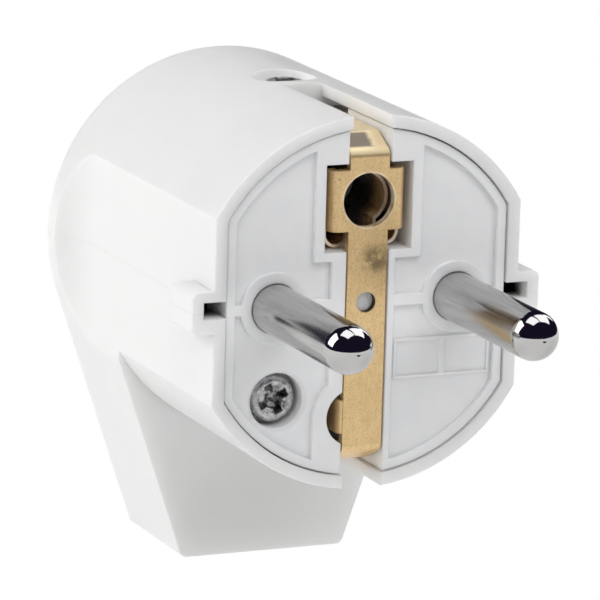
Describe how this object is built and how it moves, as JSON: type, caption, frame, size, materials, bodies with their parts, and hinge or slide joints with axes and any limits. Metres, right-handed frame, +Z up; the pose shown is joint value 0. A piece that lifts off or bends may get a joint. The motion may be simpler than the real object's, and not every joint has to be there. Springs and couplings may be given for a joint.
{
  "type": "angled mains plug",
  "caption": "Rewireable angled mains plug: round hood with side guide ribs, round pins, an earth strip with a socket for an earth pin, and a cable spout dropping at the rear.",
  "frame": {"origin": "midway between the pin axes, on the plane of the hood's rim", "axes": "-Y along the pins, out of the face; +Z up, away from the cable spout; +X to the right seen from the front of the pins with +Y going away"},
  "size_m": [0.0368, 0.0591, 0.0495],
  "materials": {
    "hood_plastic": "semi-gloss moulded white",
    "carrier_plastic": "satin moulded white, slightly grey",
    "pin_nickel": "nickel plate, satin shank and polished tip",
    "screw_steel": "zinc plated",
    "nut_steel": "plain steel",
    "strip_brass": "satin brass",
    "clip_bronze": "spring bronze",
    "clamp_plastic": "moulded white"
  },
  "bodies": {
    "root": {"housing": "hood_plastic", "contact_carrier": "carrier_plastic", "line_pin": "pin_nickel", "neutral_pin": "pin_nickel", "line_terminal_screw": "screw_steel", "neutral_terminal_screw": "screw_steel", "face_screw": "screw_steel", "top_screw": "screw_steel", "top_screw_nut": "nut_steel", "earth_strip": "strip_brass", "earth_spring_clip": "clip_bronze", "earth_terminal": "strip_brass", "earth_terminal_screw": "screw_steel", "cord_clamp_bar": "clamp_plastic", "cord_clamp_screws": "screw_steel"}
  },
  "joints": []
}
